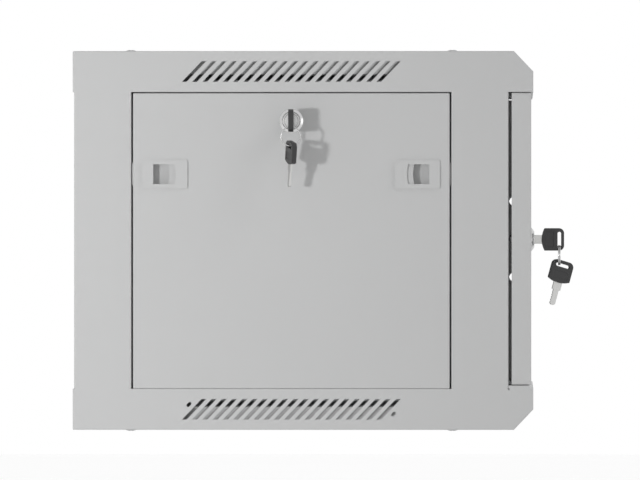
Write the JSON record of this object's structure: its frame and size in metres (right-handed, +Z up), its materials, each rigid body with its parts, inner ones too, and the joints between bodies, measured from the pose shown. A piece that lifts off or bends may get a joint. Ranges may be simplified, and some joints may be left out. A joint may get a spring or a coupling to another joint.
{
  "type": "wall mount network cabinet",
  "caption": "Wall mounted 19 inch network cabinet with glazed lockable front door, slanted vent slots and lift-off side panels held by slide latches and a key lock.",
  "frame": {"origin": "centre of the rectangle of wall fixing holes, in the plane of the wall", "axes": "+X to the right as seen from the front, +Y to the wall, +Z up"},
  "size_m": [0.6436, 0.4894, 0.3732],
  "materials": {
    "cabinet_paint": "fine textured light grey powder coat",
    "inner_paint": "smooth grey coat on the inner steel",
    "painted_screws": "grey coated dome screws",
    "zinc_steel": "zinc plated steel",
    "bright_steel": "nickel plated steel",
    "lock_case": "satin chromed lock case",
    "lock_core": "satin chromed lock barrel",
    "latch_plastic": "moulded light grey plastic",
    "latch_slide_plastic": "moulded light grey plastic",
    "key_plastic": "moulded black plastic",
    "door_glass": "toughened safety glass, lightly smoked",
    "gasket_rubber": "black foam rubber"
  },
  "bodies": {
    "frame": {"back_panel": "cabinet_paint", "back_screws": "painted_screws", "base_cap": "cabinet_paint", "base_entry_cover": "cabinet_paint", "cover_screws": "zinc_steel", "earth_stud": "zinc_steel", "left_base_bar": "inner_paint", "left_front_post": "cabinet_paint", "left_front_rail": "inner_paint", "left_rear_post": "cabinet_paint", "left_rear_rail": "inner_paint", "left_roof_bar": "inner_paint", "rail_bolts": "zinc_steel", "right_base_bar": "inner_paint", "right_front_post": "cabinet_paint", "right_front_rail": "inner_paint", "right_rear_post": "cabinet_paint", "right_rear_rail": "inner_paint", "right_roof_bar": "inner_paint", "roof_cap": "cabinet_paint", "roof_entry_cover": "cabinet_paint", "roof_screws": "painted_screws"},
    "door": {"door_frame": "cabinet_paint", "door_glass": "door_glass", "glass_gasket": "gasket_rubber", "glass_clips": "zinc_steel", "door_pins": "bright_steel", "door_lock_body": "lock_case", "door_lock_nut": "bright_steel"},
    "door_lock": {"door_lock_barrel": "lock_core", "door_lock_cam": "bright_steel"},
    "door_key": {"door_key_blade": "bright_steel", "door_key_bow": "key_plastic"},
    "door_ring": {"door_key_ring": "bright_steel"},
    "door_spare": {"door_spare_blade": "bright_steel", "door_spare_bow": "key_plastic"},
    "left_side": {"left_panel": "cabinet_paint", "left_latch_housings": "latch_plastic", "left_lock_body": "lock_case", "left_lock_nut": "bright_steel"},
    "left_rear_slide": {"left_rear_latch": "latch_slide_plastic"},
    "left_front_slide": {"left_front_latch": "latch_slide_plastic"},
    "left_lock": {"left_lock_barrel": "lock_core", "left_lock_cam": "bright_steel"},
    "right_side": {"right_panel": "cabinet_paint", "right_latch_housings": "latch_plastic", "right_lock_body": "lock_case", "right_lock_nut": "bright_steel"},
    "right_rear_slide": {"right_rear_latch": "latch_slide_plastic"},
    "right_front_slide": {"right_front_latch": "latch_slide_plastic"},
    "right_lock": {"right_lock_barrel": "lock_core", "right_lock_cam": "bright_steel"},
    "left_key": {"left_key_blade": "bright_steel", "left_key_bow": "key_plastic"},
    "left_ring": {"left_key_ring": "bright_steel"},
    "left_spare": {"left_spare_blade": "bright_steel", "left_spare_bow": "key_plastic"}
  },
  "joints": [
    {"name": "door_hinge", "type": "hinge", "parent": "frame", "child": "door", "pos_m": [0.294, -0.43845, 0], "axis": [0, 0, 1], "range_deg": [0, 180]},
    {"name": "door_lock_turn", "type": "hinge", "parent": "door", "child": "door_lock", "pos_m": [-0.27, -0.448, 0.001], "axis": [0, -1, 0], "range_deg": [0, 90]},
    {"name": "door_key_draw", "type": "slide", "parent": "door_lock", "child": "door_key", "axis": [0, -1, 0], "range_m": [0, 0.016]},
    {"name": "door_ring_swing", "type": "hinge", "parent": "door_key", "child": "door_ring", "pos_m": [-0.27, -0.4755, -0.00495], "axis": [0, 1, 0], "range_deg": [-7, 7]},
    {"name": "door_spare_swing", "type": "hinge", "parent": "door_ring", "child": "door_spare", "pos_m": [-0.27, -0.4755, -0.02375], "axis": [1, 0, 0], "range_deg": [-40, 12]},
    {"name": "left_panel_tilt", "type": "hinge", "parent": "frame", "child": "left_side", "pos_m": [-0.3, -0.21365, -0.14488], "axis": [0, -1, 0], "range_deg": [0, 30]},
    {"name": "left_rear_latch_slide", "type": "slide", "parent": "left_side", "child": "left_rear_slide", "axis": [0, 1, 0], "range_m": [0, 0.006]},
    {"name": "left_front_latch_slide", "type": "slide", "parent": "left_side", "child": "left_front_slide", "axis": [0, -1, 0], "range_m": [0, 0.006]},
    {"name": "left_lock_turn", "type": "hinge", "parent": "left_side", "child": "left_lock", "pos_m": [-0.3, -0.21365, 0.1168], "axis": [-1, 0, 0], "range_deg": [0, 90]},
    {"name": "right_panel_tilt", "type": "hinge", "parent": "frame", "child": "right_side", "pos_m": [0.3, -0.21365, -0.14488], "axis": [0, 1, 0], "range_deg": [0, 30]},
    {"name": "right_rear_latch_slide", "type": "slide", "parent": "right_side", "child": "right_rear_slide", "axis": [0, 1, 0], "range_m": [0, 0.006]},
    {"name": "right_front_latch_slide", "type": "slide", "parent": "right_side", "child": "right_front_slide", "axis": [0, -1, 0], "range_m": [0, 0.006]},
    {"name": "right_lock_turn", "type": "hinge", "parent": "right_side", "child": "right_lock", "pos_m": [0.3, -0.21365, 0.1168], "axis": [-1, 0, 0], "range_deg": [0, 90]},
    {"name": "left_key_draw", "type": "slide", "parent": "left_lock", "child": "left_key", "axis": [-1, 0, 0], "range_m": [0, 0.016]},
    {"name": "left_ring_swing", "type": "hinge", "parent": "left_key", "child": "left_ring", "pos_m": [-0.3275, -0.21365, 0.11085], "axis": [1, 0, 0], "range_deg": [-7, 7]},
    {"name": "left_spare_swing", "type": "hinge", "parent": "left_ring", "child": "left_spare", "pos_m": [-0.3275, -0.21365, 0.09205], "axis": [0, -1, 0], "range_deg": [-40, 12]}
  ]
}
